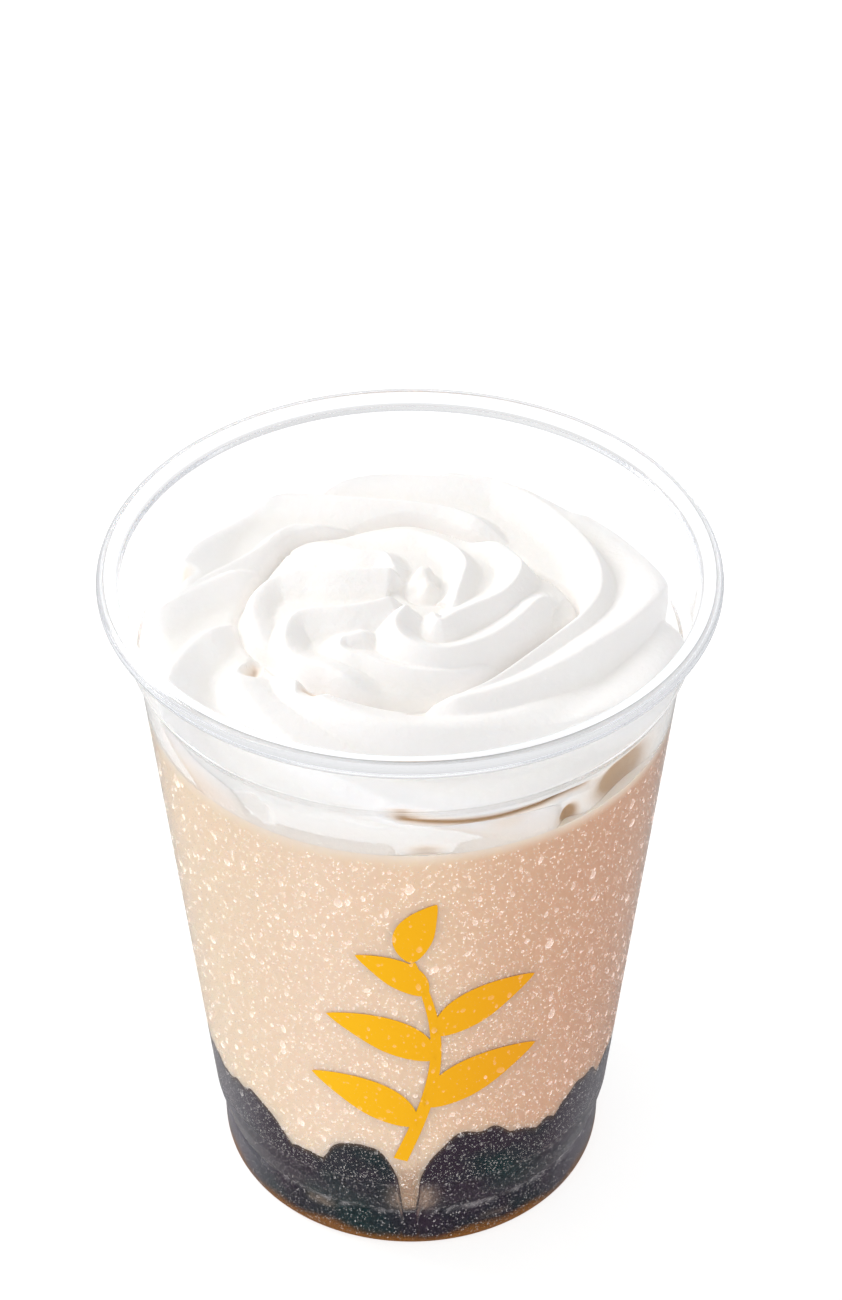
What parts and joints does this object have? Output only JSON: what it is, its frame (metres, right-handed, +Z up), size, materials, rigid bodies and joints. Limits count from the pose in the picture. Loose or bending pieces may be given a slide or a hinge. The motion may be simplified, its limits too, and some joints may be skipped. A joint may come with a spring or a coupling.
{
  "type": "hojicha shake in a clear plastic cup",
  "caption": "Roasted green tea shake over dark jelly in a tapered clear plastic cup with a rolled rim, topped with a two-tier rosette of piped whipped cream.",
  "frame": {"origin": "centre of the cup's base, on the surface it stands on", "axes": "+Z up along the cup's axis; the printed side of the cup faces -Y"},
  "size_m": [0.098, 0.098, 0.122],
  "materials": {
    "clear_plastic": "clear thin plastic, glossy, with fine condensation drops below the drink's level",
    "dark_jelly": "wet dark jelly, glossy, brown where thin",
    "shake_liquid": "opaque milky beige drink, soft and slightly translucent",
    "whipped_cream": "soft white whipped cream, matte with a faint sheen",
    "print_ink": null,
    "dew": "clear water drops"
  },
  "bodies": {
    "root": {"cup": "clear_plastic", "jelly": "dark_jelly", "shake": "shake_liquid", "cream": "whipped_cream"}
  },
  "joints": []
}
